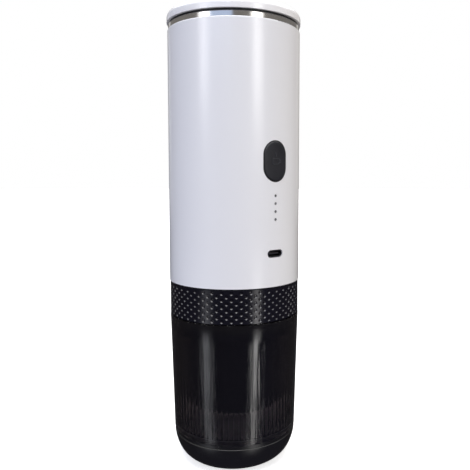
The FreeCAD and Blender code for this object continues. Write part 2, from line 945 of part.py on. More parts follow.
def make_control_board():
    return block(board_width, board_back, board_front, base_top, upper_bottom + board_slot)


def make_board_components():
    chip_z = tube_bottom + chip_height
    coil_z = tube_bottom + coil_height
    parts = [block(chip_width, board_front, board_front + chip_thick,
                   chip_z - chip_width / 2, chip_z + chip_width / 2)]
    for side in (-1, 1):
        parts.append(block(coil_width, board_front, board_front + coil_thick,
                           coil_z - coil_width / 2, coil_z + coil_width / 2, side * part_offset))
        parts.append(radial_bar(capacitor_r, board_front, board_front + capacitor_length,
                                chip_z, side * part_offset))
    return Part.makeCompound(parts)


def make_heater_leads():
    return Part.makeCompound([lead_bar(upper_bottom - lead_tail, heater_bottom, side) for side in (-1, 1)])


def make_motor_leads():
    height = motor_top + lead_r
    places = [side * motor_terminal_x for side in (-1, 1)]
    return Part.makeCompound([radial_bar(lead_r, motor_terminal_y, board_back, height, x) for x in places])


def make_lid_seal():
    return ring(tank_r + seal_inner_margin, tank_rim_r - seal_outer_margin, rim_top, cap_bottom)


def make_lid_cap():
    cap = turned(
        (0, cap_top_z - cap_top),
        (cap_r - cap_wall, cap_top_z - cap_top),
        (cap_r - cap_wall, cap_bottom),
        (cap_r, cap_bottom),
        (cap_r, cap_top_z),
        (0, cap_top_z),
    )
    return cap.makeFillet(cap_rounding, circle_edges(cap, cap_r, cap_top_z))


def make_lid_plug():
    return disc(cap_r - cap_wall - plug_play, cap_bottom, cap_top_z - cap_top)


def make_plug_skirt():
    skirt_r = tank_r - plug_clearance
    return ring(skirt_r - plug_wall, skirt_r, rim_top - plug_depth, cap_bottom)


nodes = {
    "lid_cap": make_lid_cap(),
    "lid_plug": make_lid_plug(),
    "plug_skirt": make_plug_skirt(),
    "lid_seal": make_lid_seal(),
    "water_tank": make_water_tank(),
    "tank_floor": make_tank_floor(),
    "heater_plate": make_heater_plate(),
    "temperature_sensor": under_heater(1),
    "thermal_fuse": under_heater(-1),
    "heat_shield": make_heat_shield(),
    "tie_rods": make_tie_rods(),
    "feed_tube": make_feed_tube(),
    "housing_tube": make_housing_tube(),
    "button_seal": make_button_seal(),
    "power_button": make_power_button(),
    "switch_case": make_switch_case(),
    "switch_plunger": make_switch_plunger(),
    "light_pipe": make_light_pipe(),
    "indicator_leds": make_indicator_leds(),
    "usb_socket": make_usb_socket(),
    "control_board": make_control_board(),
    "board_components": make_board_components(),
    "heater_leads": make_heater_leads(),
    "motor_leads": make_motor_leads(),
    "upper_frame": make_upper_frame(),
    "lower_frame": make_lower_frame(),
    "frame_standoffs": make_frame_standoffs(),
    "cell_links": make_cell_links(),
    "motor_can": make_motor_can(),
    "motor_shaft": make_motor_shaft(),
    "motor_pinion": make_motor_pinion(),
    "drive_gear": make_drive_gear(),
    "pump_shaft": make_pump_shaft(),
    "pump_gear_driving": make_pump_gear_driving(),
    "idler_shaft": make_idler_shaft(),
    "pump_gear_driven": make_pump_gear_driven(),
    "pump_body": make_pump_body(),
    "pump_cover": make_pump_cover(),
    "outlet_valve": make_outlet_valve(),
    "brew_base": make_brew_base(),
    "base_screws": make_base_screws(),
    "group_gasket": make_group_gasket(),
    "shower_screen": make_shower_screen(),
    "screen_screw": make_screen_screw(),
    "brew_collar": make_brew_collar(),
    "brew_chamber": make_brew_chamber(),
    "chamber_funnel": make_chamber_funnel(),
    "outlet_nozzle": make_outlet_nozzle(),
    "cup_spigot": make_cup_spigot(),
    "cup_grip_ring": make_cup_grip_ring(),
    "coffee_basket": make_coffee_basket(),
    "cup": make_cup(),
    "cup_base": make_cup_base(),
}
for number, cell_angle in enumerate(cell_angles, 1):
    nodes["battery_cell_%d" % number] = make_battery_cell(cell_angle)

os.makedirs("parts", exist_ok=True)
for name, shape in nodes.items():
    if not shape.isValid():
        raise ValueError("%s is not a sound solid" % name)
    shape.exportStep("parts/%s.step" % name)
    print("%-20s %2d solid(s), %8.0f mm3" % (name, len(shape.Solids), shape.Volume))
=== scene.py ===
import math

import bmesh
import bpy
from bpy.props import FloatProperty, FloatVectorProperty, IntProperty, PointerProperty
from mathutils import Matrix, Vector


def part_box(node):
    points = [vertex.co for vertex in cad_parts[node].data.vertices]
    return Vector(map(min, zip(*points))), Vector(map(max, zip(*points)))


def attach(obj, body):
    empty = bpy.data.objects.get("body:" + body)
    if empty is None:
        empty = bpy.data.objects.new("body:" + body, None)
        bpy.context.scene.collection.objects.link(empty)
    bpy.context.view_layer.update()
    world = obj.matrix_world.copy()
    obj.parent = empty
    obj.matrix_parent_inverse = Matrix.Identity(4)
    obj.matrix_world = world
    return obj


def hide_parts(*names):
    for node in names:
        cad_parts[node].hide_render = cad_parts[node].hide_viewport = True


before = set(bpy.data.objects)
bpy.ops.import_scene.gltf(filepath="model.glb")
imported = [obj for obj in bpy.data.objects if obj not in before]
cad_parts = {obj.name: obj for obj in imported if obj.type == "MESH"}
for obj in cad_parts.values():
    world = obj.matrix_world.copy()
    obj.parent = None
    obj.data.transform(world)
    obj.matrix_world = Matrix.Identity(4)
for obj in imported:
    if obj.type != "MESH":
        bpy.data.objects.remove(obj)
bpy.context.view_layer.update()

bl_info = {
    "name": "Portable Espresso Maker",
    "version": (1, 0, 0),
    "blender": (4, 5, 0),
    "location": "View3D > Sidebar > Espresso",
    "description": "Dresses the jointed portable espresso maker and sets up its studio",
    "category": "Add Mesh",
}

MERGE = 1e-6
FULL_TURN = math.tau
QUARTER_TURN = math.pi / 2
UPRIGHT = (0, 0, 1)
ORIGIN = (0, 0, 0)
FACING_FRONT = Matrix.Rotation(QUARTER_TURN, 4, "X")

# Corners that a full turn, or one bend, is drawn with
DISH_STEPS = 240
RING_STEPS = 144
FLOOR_STEPS = 96
THREAD_STEPS = 48
BUTTON_STEPS = 48
BEND_STEPS = 8

# The photograph is square, and its middle lies off the camera's axis
PHOTO_PIXELS = 470
SHIFT_PIXELS = (-35, -18)
SENSOR_MM = 36.0
FLOOR_RADIUS = 6.0


def outer_radius(node):
    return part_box(node)[1].x


def low_of(node):
    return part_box(node)[0].z


def high_of(node):
    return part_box(node)[1].z


def length(name, description, default):
    """A size that the sidebar shows in the scene's unit of length."""
    return FloatProperty(name=name, description=description, default=default, subtype="DISTANCE",
                         unit="LENGTH", precision=5)


def angle(name, description, degrees):
    return FloatProperty(name=name, description=description, default=math.radians(degrees),
                         subtype="ANGLE", unit="ROTATION")


def share(name, description, default):
    return FloatProperty(name=name, description=description, default=default, min=0.0, max=1.0,
                         subtype="FACTOR")


def amount(name, description, default):
    """A number in a unit of its own, such as how strong a light is."""
    return FloatProperty(name=name, description=description, default=default, min=0)


def count(name, description, default, fewest, most):
    return IntProperty(name=name, description=description, default=default, min=fewest, max=most)


def colour(name, description, default):
    return FloatVectorProperty(name=name, description=description, default=default, size=3,
                               min=0.0, max=1.0, subtype="COLOR")


class FinishLook(bpy.types.PropertyGroup):
    """Colours and gloss of the materials."""

    paint: colour("Paint", "Satin white paint of the tube", (0.812, 0.82, 0.852))
    lid_paint: colour("Lid paint", "Satin white paint of the lid", (0.885, 0.885, 0.90))
    paint_roughness: share("Paint roughness", "How soft the paint's highlights are", 0.30)
    steel: colour("Steel", "Polished stainless steel of the tank", (0.66, 0.65, 0.635))
    steel_roughness: share("Steel roughness", "How soft the steel's reflections are", 0.13)
    collar: colour("Collar", "Black plastic of the dimpled collar", (0.0034, 0.0032, 0.0066))
    button: colour("Button", "Charcoal silicone of the button", (0.0085, 0.0088, 0.0125))
    sign: colour("Sign", "Grey of the cup sign on the button", (0.028, 0.029, 0.036))
    smoke: colour("Smoke", "What a wall's thickness of the cup lets through", (0.575, 0.53, 0.522))
    dish: colour("Dish", "Smoke-black plastic of the dish", (0.0045, 0.0043, 0.0042))
    # Painted light: the disc in the cup's floor is pale grey to stand in for light coming through the floor
    mat: colour("Mat", "Grey plastic of the disc in the cup's floor", (0.265, 0.265, 0.295))
    chamber: colour("Chamber", "Black plastic of the brewing chamber", (0.0016, 0.0016, 0.0021))
    rubber: colour("Seal", "Dark silicone of the seals", (0.007, 0.007, 0.0078))


class CollarLook(bpy.types.PropertyGroup):
    """Sizes of the dimpled collar."""

    columns: count("Column pairs", "Pairs of dimple columns round the collar", 45, 12, 90)
    first_column: angle("First column", "From the front to the first column of dimples", -2.4)
    row_step: length("Row step", "Height from one row to the next", 0.00176)
    mouth: length("Dimple radius", "Radius of each dimple at the surface", 0.00098)
    depth: length("Dimple depth", "How deep each dimple is", 0.00044)
    edge: length("Edge", "Width of the chamfers at the collar's ends", 0.0004)
    wall: length("Wall", "Thickness of the collar's wall", 0.0037)
    lip: length("Lip", "Height of the inner lip that carries the chamber", 0.003)
    lip_reach: length("Lip reach", "From the bore in to the lip's edge", 0.0014)


class CupLook(bpy.types.PropertyGroup):
    """Sizes of the fluted cup, the disc in its floor and the lip that shows through it."""

    flutes: count("Flutes", "Upright flutes round the inside", 78, 12, 160)
    flute_depth: length("Flute depth", "How far each flute stands in from the wall", 0.0003)
    flute_fade: length("Flute fade", "Height over which the flutes run out", 0.004)
    plain_band: length("Plain band", "Height of the smooth band under the rim", 0.0094)
    corners: count("Flute corners", "Corners in each flute's arc", 6, 3, 12)
    wall: length("Wall", "Thickness of the cup's wall", 0.0022)
    floor: length("Floor", "Thickness of the cup's floor", 0.0022)
    flare: length("Flare", "From the bottom's radius to the rim's", 0.0018)
    rim_rounding: length("Rim rounding", "Rounding of the cup's upper edge", 0.00005)
    foot_rounding: length("Foot rounding", "Rounding of the cup's lower edge", 0.00015)
    mat: length("Mat", "Thickness of the disc in the cup's floor", 0.0006)
    lip_height: length("Lip height", "Height of the lip round the chamber's foot", 0.0009)
    lip_reach: length("Lip reach", "How far the lip stands out from the chamber", 0.0004)


class DishLook(bpy.types.PropertyGroup):
    """Sizes of the rounded dish under the cup."""

    heel_radius: length("Heel radius", "First arc of the side, from the foot up", 0.0142)
    heel_turn: angle("Heel turn", "How far the first arc turns", 22.0)
    side_radius: length("Side radius", "Second arc of the side", 0.0126)
    side_turn: angle("Side turn", "How far the second arc turns", 39.0)
    lip_radius: length("Lip radius", "Third arc of the side", 0.022)
    lip_turn: angle("Lip turn", "How far the third arc turns", 24.0)
    groove: length("Groove", "Height of the shadow groove under the cup", 0.0019)
    groove_inset: length("Groove inset", "From the lip in to the groove's floor", 0.0004)
    wall: length("Wall", "Thickness of the dish's wall", 0.002)
    lip_rounding: length("Lip rounding", "Rounding of the edge that catches the light", 0.0003)
    foot_edge: length("Foot edge", "From the arcs in to the foot's lowest ring", 0.0008)
    foot_land: length("Foot land", "From the arcs in to the foot's hollow", 0.0046)
    foot_hollow: length("Foot hollow", "Depth of the foot's hollow", 0.0006)


class ButtonLook(bpy.types.PropertyGroup):
    """Sizes of the power button and the sign on it."""

    gap: length("Gap", "From the frame's outside in to the button", 0.0006)
    edge: length("Edge", "Rounding of the button's face", 0.0004)
    hollow: length("Hollow", "How deep the face is dished", 0.00015)
    lip_depth: length("Lip depth", "From the face back to the lip behind the wall", 0.00255)
    lip: length("Lip", "How far the lip reaches out", 0.001)
    lip_thick: length("Lip thickness", "Thickness of the lip", 0.0017)
    stem: length("Stem", "Radius of the stem that presses the switch", 0.002)
    sign_width: length("Sign width", "Width of the cup sign", 0.0040)
    sign_line: length("Sign line", "Width of the sign's line", 0.00042)
    sign_relief: length("Sign relief", "How far the sign's line stands out", 0.00009)


class PortLook(bpy.types.PropertyGroup):
    """Sizes of the charging port's contacts."""

    contacts: count("Contacts", "Contacts on each side of the tongue", 12, 4, 24)
    spread: length("Spread", "Width of a row of contacts", 0.0062)
    gap: length("Gap", "Between one contact and the next", 0.00024)
    setback: length("Setback", "From the port's face to the contacts' middle", 0.0019)
    run: length("Run", "Length of each contact", 0.0011)
    tongue: length("Tongue", "Thickness of the port's tongue", 0.0007)
    foil: length("Foil", "How far a contact stands out", 0.00003)


class ThreadLook(bpy.types.PropertyGroup):
    """Sizes of the screw threads."""

    lid_lead: length("Lid lead", "Rise of the lid in one turn", 0.004)
    collar_lead: length("Collar lead", "Drop of the collar in one turn", 0.0055)
    clearance: length("Clearance", "Between the two walls that a thread joins", 0.0004)
    ridge: length("Ridge", "How far a ridge stands out", 0.0003)
    root: length("Root", "How deep a ridge's foot lies in its wall", 0.0002)
    width: length("Width", "Width of a ridge at its foot", 0.0014)


class StudioLook(bpy.types.PropertyGroup):
    """Camera, lights and floor."""

    azimuth: angle("Camera azimuth", "Camera's place round the maker, from the front", -35.739)
    distance: length("Camera distance", "Camera's distance from the axis", 0.30611)
    height: length("Camera height", "Camera's height above the floor", 0.15349)
    heading: angle("Heading", "Where the camera looks, clockwise from straight back", 39.375)
    tilt: angle("Tilt", "How far the camera looks down", 4.247)
    roll: angle("Roll", "The camera's roll", 0.124)
    lens: amount("Lens", "Focal length in millimetres", 42.95)
    key: amount("Key light", "Radiance of the tall light on the right", 5.4)
    fill: amount("Fill light", "Radiance of the tall light on the left", 4.6)
    table_key: amount("Table key light", "Radiance of the low light on the right", 3.0)
    table_fill: amount("Table fill light", "Radiance of the low light on the left", 1.3)
    key_streak: amount("Key streak", "Radiance of the light in the cup's right streak", 3.4)
    fill_streak: amount("Fill streak", "Radiance of the light in the cup's left streak", 0.8)
    bounce: amount("Bounce", "Radiance of the low lights that the table throws back", 2.4)
    sky: amount("Sky light", "Radiance of the high bluish light left of the camera", 0.92)
    rim: amount("Rim light", "Radiance of the slim lights behind the maker", 0.7)
    ceiling: amount("Ceiling", "Radiance of the ceiling where gloss mirrors it", 3.5)
    top: amount("Top light", "Strength of the broad light overhead", 2.1)
    top_spread: angle("Top spread", "How wide the light overhead is", 40.0)
    paper_glow: amount("Paper glow", "The floor's own light, which thins the shadow", 0.65)


LOOKS = {"espresso_" + look.__name__.removesuffix("Look").lower(): look for look in (
    FinishLook, CollarLook, CupLook, DishLook, ButtonLook, PortLook, ThreadLook, StudioLook)}


class Nodes:
    """A node tree, with a call for each kind of node that the finishes, lights and room need."""

    def __init__(self, tree):
        self.tree = tree

    def put(self, kind, inputs, **settings):
        """Adds a node, and feeds its inputs with plain values or other nodes' outputs."""
        node = self.tree.nodes.new("ShaderNode" + kind)
        for key, value in settings.items():
            setattr(node, key, value)
        for key, value in inputs.items():
            if isinstance(value, bpy.types.NodeSocket):
                self.tree.links.new(value, node.inputs[key])
            else:
                node.inputs[key].default_value = value
        return node.outputs

    def maths(self, operation, *values):
        return self.put("Math", dict(enumerate(values)), operation=operation)[0]

    def vectors(self, operation, *values):
        """Lengths and dot products come out as values, the rest as vectors."""
        sockets = (0, "Scale") if operation == "SCALE" else (0, 1)
        outputs = self.put("VectorMath", dict(zip(sockets, values)), operation=operation)
        return outputs["Value" if operation in ("LENGTH", "DOT_PRODUCT") else "Vector"]

    def axis(self, vector, name):
        return self.put("SeparateXYZ", {0: vector})[name]

    def ramp(self, value, start, end, low=0.0, high=1.0, **settings):
        """Carries a value's range from start to end over to one from low to high."""
        return self.put("MapRange", {"Value": value, "From Min": start, "From Max": end, "To Min": low,
                                     "To Max": high}, **settings)["Result"]

    def spread(self, pattern, low=0.0, high=1.0):
        """Carries a pattern's middle range over to a range of its own."""
        return self.ramp(pattern, 0.3, 0.7, low, high)

    def blend(self, factor, *colours):
        """Goes from one colour to another, each a plain one or another node's output."""
        first, second = (value if isinstance(value, bpy.types.NodeSocket) else (*value[:3], 1)
                         for value in colours)
        return self.put("Mix", {0: factor, 6: first, 7: second}, data_type="RGBA")[2]

    def shade(self, factor, tint, *strengths):
        """Goes from one strength of a colour to another."""
        return self.blend(factor, *([min(1.0, channel * strength) for channel in tint]
                                    for strength in strengths))


class Finish(Nodes):
    """A material whose patterns follow the place on the object."""

    def __init__(self, name, **shader):
        self.material = bpy.data.materials.new(name)
        self.material.use_nodes = True
        super().__init__(self.material.node_tree)
        self.shader = self.tree.nodes["Principled BSDF"]
        for key, value in shader.items():
            self.shader.inputs[key.replace("_", " ")].default_value = value
        self.place = self.put("TexCoord", {})["Object"]

    def noise(self, size, detail, stretch=(1, 1, 1), place=None):
        """Cloudy pattern whose patches are about one size across, in metres."""
        moved = self.put("Mapping", {"Vector": place or self.place, "Scale": stretch})["Vector"]
        return self.put("TexNoise", {"Vector": moved, "Scale": 1 / size, "Detail": detail})["Fac"]

    def along_turning(self):
        """Place measured out from the upright axis and up it, so that a pattern runs in rings."""
        out = self.vectors("LENGTH", self.vectors("MULTIPLY", self.place, (1, 1, 0)))
        return self.put("CombineXYZ", {"X": out, "Z": self.axis(self.place, "Z")})[0]

    def feed(self, **patterns):
        """Links patterns to the shader's inputs, and gives the material."""
        for key, output in patterns.items():
            self.tree.links.new(output, self.shader.inputs[key.replace("_", " ")])
        return self.material

    def emboss(self, height, depth, **patterns):
        """Raises bumps from one pattern, and feeds the shader with the others."""
        bump = self.put("Bump", {"Height": height, "Distance": depth, "Strength": 1.0})
        return self.feed(Normal=bump["Normal"], **patterns)


def moulded(name, tint, roughness, patch=0.02, tone=0.06, wear=0.12, grain=0.0004, relief=0.000006,
            **shader):
    """Moulded plastic or silicone: slight clouding, fine grain, and gloss that handling has made uneven."""
    skin = Finish(name, **shader)
    clouds, smears = skin.spread(skin.noise(patch, 4.0)), skin.noise(patch / 3, 4.0)
    return skin.emboss(skin.noise(grain, 2.0), relief,
                       Base_Color=skin.shade(clouds, tint, 1 - tone, 1 + tone),
                       Roughness=skin.spread(smears, roughness * (1 - wear), roughness * (1 + wear)))


def machined(name, tint, roughness, line=0.00012, relief=0.0000015, turned=False):
    """Bare metal with the fine lines of turning or drawing, and faint stains."""
    skin = Finish(name, Metallic=1.0)
    place, stretch = (skin.along_turning(), (1, 1, 1)) if turned else (skin.place, (1, 1, 0.02))
    lines = skin.noise(line, 2.0, stretch, place)
    stains = skin.spread(skin.noise(0.012, 4.0))
    return skin.emboss(lines, relief, Base_Color=skin.shade(stains, tint, 0.92, 1.0),
                       Roughness=skin.spread(lines, roughness * 0.8, roughness * 1.25))


def see_through(name, tint, roughness, through, satin_from=None):
    """Clear or smoke plastic, faintly uneven as a moulding is, and satin above a height if one is given."""
    skin = Finish(name, IOR=1.5, Transmission_Weight=through)
    flow = skin.noise(0.015, 3.0, (1, 1, 0.25))
    gloss = skin.spread(skin.noise(0.004, 6.0), roughness * 0.7, roughness * 1.3)
    relief, depth = flow, 0.00001
    if satin_from:
        height = skin.axis(skin.place, "Z")
        satin = skin.ramp(height, satin_from - 0.004, satin_from + 0.002, 0.0, 0.09)
        gloss = skin.maths("ADD", gloss, satin)
        lined = skin.ramp(height, satin_from + 0.001, satin_from - 0.009)
        lines = skin.noise(0.0011, 1.0, (1, 1, 0.008))
        relief, depth = skin.maths("MULTIPLY", lines, lined), 0.00009
    return skin.emboss(relief, depth, Base_Color=skin.shade(skin.spread(flow), tint, 0.9, 1.1),
                       Roughness=gloss)


def painted_light_in_the_middle(name, tint, roughness):
    """Disc with painted light: lighter in its middle, to offset the brewing chamber's shadow, and darker
    towards its rim.
    """
    skin = Finish(name)
    # Painted light: from the middle out to the rim the colour darkens to 0.3 of its strength
    painted_shade_towards_rim = skin.ramp(skin.axis(skin.along_turning(), "X"), 0.01, 0.026)
    clouds = skin.noise(0.006, 4.0)
    return skin.emboss(clouds, 0.00001, Base_Color=skin.shade(painted_shade_towards_rim, tint, 1.0, 0.3),
                       Roughness=skin.spread(clouds, roughness * 0.85, roughness * 1.15))


def circuit_board(name):
    """Green solder mask over copper tracks, with tinned pads."""
    skin = Finish(name, Coat_Weight=0.4, Coat_Roughness=0.2)
    upright = skin.put("Mapping", {"Vector": skin.place, "Rotation": (QUARTER_TURN, 0, 0)})[0]
    white, black = (1, 1, 1, 1), (0, 0, 0, 1)
    tracks = skin.put("TexBrick", {"Vector": upright, "Color1": white, "Color2": white, "Mortar": black,
                                   "Scale": 1.0, "Mortar Size": 0.00018, "Mortar Smooth": 0.2,
                                   "Brick Width": 0.0041, "Row Height": 0.0013},
                      offset=0.37, squash=1.7, squash_frequency=3)["Fac"]
    cells = skin.put("TexVoronoi", {"Vector": skin.place, "Scale": 260.0})["Distance"]
    pad = skin.ramp(cells, 0.14, 0.17, 1.0, 0.0)
    mask = skin.blend(tracks, (0.006, 0.075, 0.03), (0.018, 0.15, 0.06))
    return skin.emboss(tracks, 0.00004, Base_Color=skin.blend(pad, mask, (0.62, 0.6, 0.55)), Metallic=pad,
                       Roughness=skin.spread(skin.noise(0.002, 4.0), 0.32, 0.42))


def cell_wrap(name):
    """Heat-shrunk film: crinkled near the cell's ends, glossy between."""
    skin = Finish(name, Coat_Weight=0.5, Coat_Roughness=0.12)
    low, high = low_of("battery_cell_1"), high_of("battery_cell_1")
    half = (high - low) / 2
    from_middle = skin.maths("SUBTRACT", skin.axis(skin.place, "Z"), (high + low) / 2)
    ends = skin.ramp(skin.maths("ABSOLUTE", from_middle), half * 0.9, half * 0.99)
    film = skin.noise(0.01, 2.0)
    body = skin.blend(skin.spread(film), (0.02, 0.12, 0.30), (0.03, 0.16, 0.36))
    creases = skin.maths("MULTIPLY", skin.noise(0.0012, 3.0, (1, 1, 0.15)), ends)
    return skin.emboss(creases, 0.0003, Base_Color=skin.blend(ends, body, (0.55, 0.55, 0.56)),
                       Roughness=skin.spread(film, 0.28, 0.4))


def braided(name, tint):
    """Silicone hose or wire sheath with a faint lay of threads under its skin."""
    skin = Finish(name, Subsurface_Weight=0.1, Subsurface_Radius=(0.002, 0.002, 0.002))
    lay = skin.put("TexWave", {"Vector": skin.place, "Scale": 320.0, "Distortion": 0.6},
                   bands_direction="DIAGONAL")["Fac"]
    return skin.emboss(lay, 0.00002, Base_Color=skin.shade(lay, tint, 0.86, 1.0),
                       Roughness=skin.spread(skin.noise(0.003, 4.0), 0.38, 0.52))


def make_finishes(look):
    """Every finish of the maker, by its name in the record or in SPECIAL, or as a new piece calls it."""
    paint = {"patch": 0.05, "tone": 0.008, "wear": 0.03, "grain": 0.0005, "relief": 0.0000015,
             "Coat_Weight": 0.8, "Coat_Roughness": 0.16}
    return {
        "white_shell": moulded("satin_white_paint", look.paint, look.paint_roughness, **paint),
        "lid_white": moulded("satin_white_lid", look.lid_paint, look.paint_roughness, **paint),
        "lid_inner": moulded("lid_inner_plastic", (0.62, 0.62, 0.63), 0.42, tone=0.03),
        "dark_silicone": moulded("dark_silicone", look.rubber, 0.55, grain=0.0003, relief=0.00001),
        "hose_silicone": braided("hose_silicone", (0.72, 0.70, 0.66)),
        "polished_steel": machined("polished_steel", look.steel, look.steel_roughness, turned=True),
        # Painted shade: the charging port's steel is darkened to the shade inside the opening
        "port_steel_painted_shade": machined("port_steel_painted_shade", (0.16, 0.16, 0.165), 0.35),
        "satin_steel": machined("satin_steel", (0.52, 0.51, 0.50), 0.3),
        "heater_aluminium": machined("cast_aluminium", (0.72, 0.72, 0.73), 0.42, 0.0006, 0.00001),
        "button_charcoal": moulded("charcoal_silicone", look.button, 0.5, grain=0.00022, relief=0.000012,
                                   tone=0.1),
        "sign_grey": moulded("grey_sign_silicone", look.sign, 0.5, grain=0.00022, relief=0.000008),
        "collar_black": moulded("black_collar_plastic", look.collar, 0.17, grain=0.0005, relief=0.000002,
                                tone=0.15),
        "chamber_black": moulded("black_chamber_plastic", look.chamber, 0.22, tone=0.15,
                                 Specular_IOR_Level=0.15),
        # Painted highlight: grey lip that shows as a light line round the chamber's foot
        "lip_painted_highlight": moulded("painted_highlight_lip", (0.16, 0.16, 0.165), 0.3, tone=0.15),
        "smoke_clear": see_through("smoke_plastic", look.smoke, 0.06, 1.0, high_of("cup") - 0.006),
        "smoke_dense": moulded("dense_smoke_plastic", look.dish, 0.3, grain=0.0006, relief=0.000002),
        # Painted light: pale disc in the cup's floor, painted lighter in its middle
        "mat_painted_light": painted_light_in_the_middle("painted_light_mat", look.mat, 0.4),
        "frame_grey": moulded("grey_frame_plastic", (0.16, 0.165, 0.17), 0.5, grain=0.0003, relief=0.000015),
        "cell_wrap": cell_wrap("cell_shrink_film"),
        "cell_nickel": machined("nickel_strip", (0.66, 0.62, 0.56), 0.24),
        "board_green": circuit_board("circuit_board"),
        "chip_black": moulded("chip_resin", (0.015, 0.015, 0.017), 0.48, grain=0.0002, relief=0.00001),
        "clear_lens": see_through("clear_lens", (0.30, 0.30, 0.32), 0.3, 0.5),
        "contact_gold": machined("contact_gold", (0.86, 0.65, 0.28), 0.2),
        "wire_sheath": braided("red_wire_sheath", (0.45, 0.03, 0.02)),
        "gear_brass": machined("gear_brass", (0.80, 0.58, 0.26), 0.22, turned=True),
        "pump_plastic": moulded("glass_filled_plastic", (0.055, 0.058, 0.062), 0.52, grain=0.00025,
                                relief=0.00002, tone=0.2),
    }


FINISHES = {}

# Nodes whose finish isn't the one that the record gives them
SPECIAL = {"lid_cap": "lid_white", "usb_socket": "port_steel_painted_shade", "cup_grip_ring": "chamber_black",
           "cup_spigot": "chamber_black"}


def verts_in(items):
    return [item for item in items if isinstance(item, bmesh.types.BMVert)]


def edges_in(items):
    return [item for item in items if isinstance(item, bmesh.types.BMEdge)]


def chain(bm, corners):
    """Open line of edges through a few corners (radius, height) in the half section."""
    verts = [bm.verts.new((radius, 0, height)) for radius, height in corners]
    for pair in zip(verts, verts[1:]):
        bm.edges.new(pair)
    return verts


def swing(bm, geom, turn, steps, centre=ORIGIN, axis=UPRIGHT, rise=ORIGIN, merge=False, copy=False):
    """Sweeps or copies a shape round an axis, and gives what stands at the end of it."""
    return bmesh.ops.spin(bm, geom=geom, cent=centre, axis=axis, dvec=rise, angle=turn, steps=steps,
                          use_merge=merge, use_duplicate=copy)["geom_last"]


def turn_section(bm, steps):
    """Sweeps the half section a full turn about the upright axis."""
    swing(bm, bm.verts[:] + bm.edges[:], FULL_TURN, steps, merge=True)
    close_up(bm)


def close_up(bm):
    """Joins doubled corners and turns all faces outward."""
    bmesh.ops.remove_doubles(bm, verts=bm.verts, dist=MERGE)
    bmesh.ops.dissolve_degenerate(bm, dist=MERGE, edges=bm.edges)
    bmesh.ops.recalc_face_normals(bm, faces=bm.faces)


def round_over(bm, edges, offset):
    bmesh.ops.bevel(bm, geom=edges, offset=offset, affect="EDGES", segments=3, profile=0.5,
                    clamp_overlap=True)


def ring_edges(bm, radius, height, slack=1e-5):
    """Edges that run round the upright axis at one radius and height."""
    def on_ring(vert):
        return abs(vert.co.z - height) < slack and abs(vert.co.xy.length - radius) < slack
    return [edge for edge in bm.edges if all(on_ring(vert) for vert in edge.verts)]


def grow(bm, edges, place):
    """Extrudes a loop of edges and puts its new corners where place(corner) says."""
    grown = bmesh.ops.extrude_edge_only(bm, edges=edges)["geom"]
    for vert in verts_in(grown):
        vert.co = place(vert.co)
    return edges_in(grown)


def at_radius(radius, height):
    """Moves a corner straight in or out, and up or down, to a radius and a height."""
    def place(co):
        out = Vector((co.x, co.y, 0)).normalized() * radius
        return Vector((out.x, out.y, height))
    return place


def add_object(name, data):
    made = bpy.data.objects.new(name, data)
    bpy.context.scene.collection.objects.link(made)
    return made


def round_the_maker(azimuth, distance, height):
    """Point at a turn from the front, at a distance from the axis."""
    return Vector((distance * math.sin(azimuth), -distance * math.cos(azimuth), height))


def finish_piece(name, bm, finish, body, *replaced, slot=None, sharp=35.0):
    """Turns a mesh into a piece that rides on a body, in place of the nodes that it stands for."""
    close_up(bm)
    mesh = bpy.data.meshes.new(name)
    bm.to_mesh(mesh)
    bm.free()
    mesh.shade_smooth()
    mesh.set_sharp_from_angle(angle=math.radians(sharp))
    mesh.materials.append(FINISHES[finish])
    piece = add_object(name, mesh)
    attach(piece, body)
    if replaced:
        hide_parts(*replaced)


def add_dimple(bm, look, across, low, centre, high, width):
    """One round hollow in its own patch of the wall: across on X, depth on Y, height on Z."""
    verts = bmesh.ops.create_grid(bm, x_segments=2, y_segments=4, size=0.5)["verts"]
    for vert in verts:
        reach = (high - centre) if vert.co.y > 0 else (centre - low)
        vert.co = Vector((across + vert.co.x * width, 0, centre + 2 * vert.co.y * reach))
    bmesh.ops.delete(bm, geom=[vert for vert in verts if not vert.is_boundary], context="VERTS")
    outline = {edge for vert in verts if vert.is_valid for edge in vert.link_edges}
    middle = Vector((across, 0, centre))
    mouth = bmesh.ops.create_circle(bm, segments=len(outline), radius=look.mouth,
                                    matrix=Matrix.Translation(middle) @ FACING_FRONT)["verts"]
    rim = list({edge for vert in mouth for edge in vert.link_edges})
    bmesh.ops.bridge_loops(bm, edges=list(outline) + rim)
    for size, depth in ((0.8, 0.45), (0.6, 0.9), (0.3, 0.98)):
        def sink(co):
            flat = (Vector((co.x, 0, co.z)) - middle).normalized() * look.mouth * size
            return middle + flat + Vector((0, look.depth * depth, 0))
        rim = grow(bm, rim, sink)
    bmesh.ops.contextual_create(bm, geom=rim)


def add_plain_patch(bm, low, high, width):
    """Fills the wall above or under the first column's dimples."""
    verts = bmesh.ops.create_grid(bm, x_segments=2, y_segments=2, size=0.5)["verts"]
    for vert in verts:
        vert.co = Vector((vert.co.x * width, 0, (low + high) / 2 + vert.co.y * (high - low)))


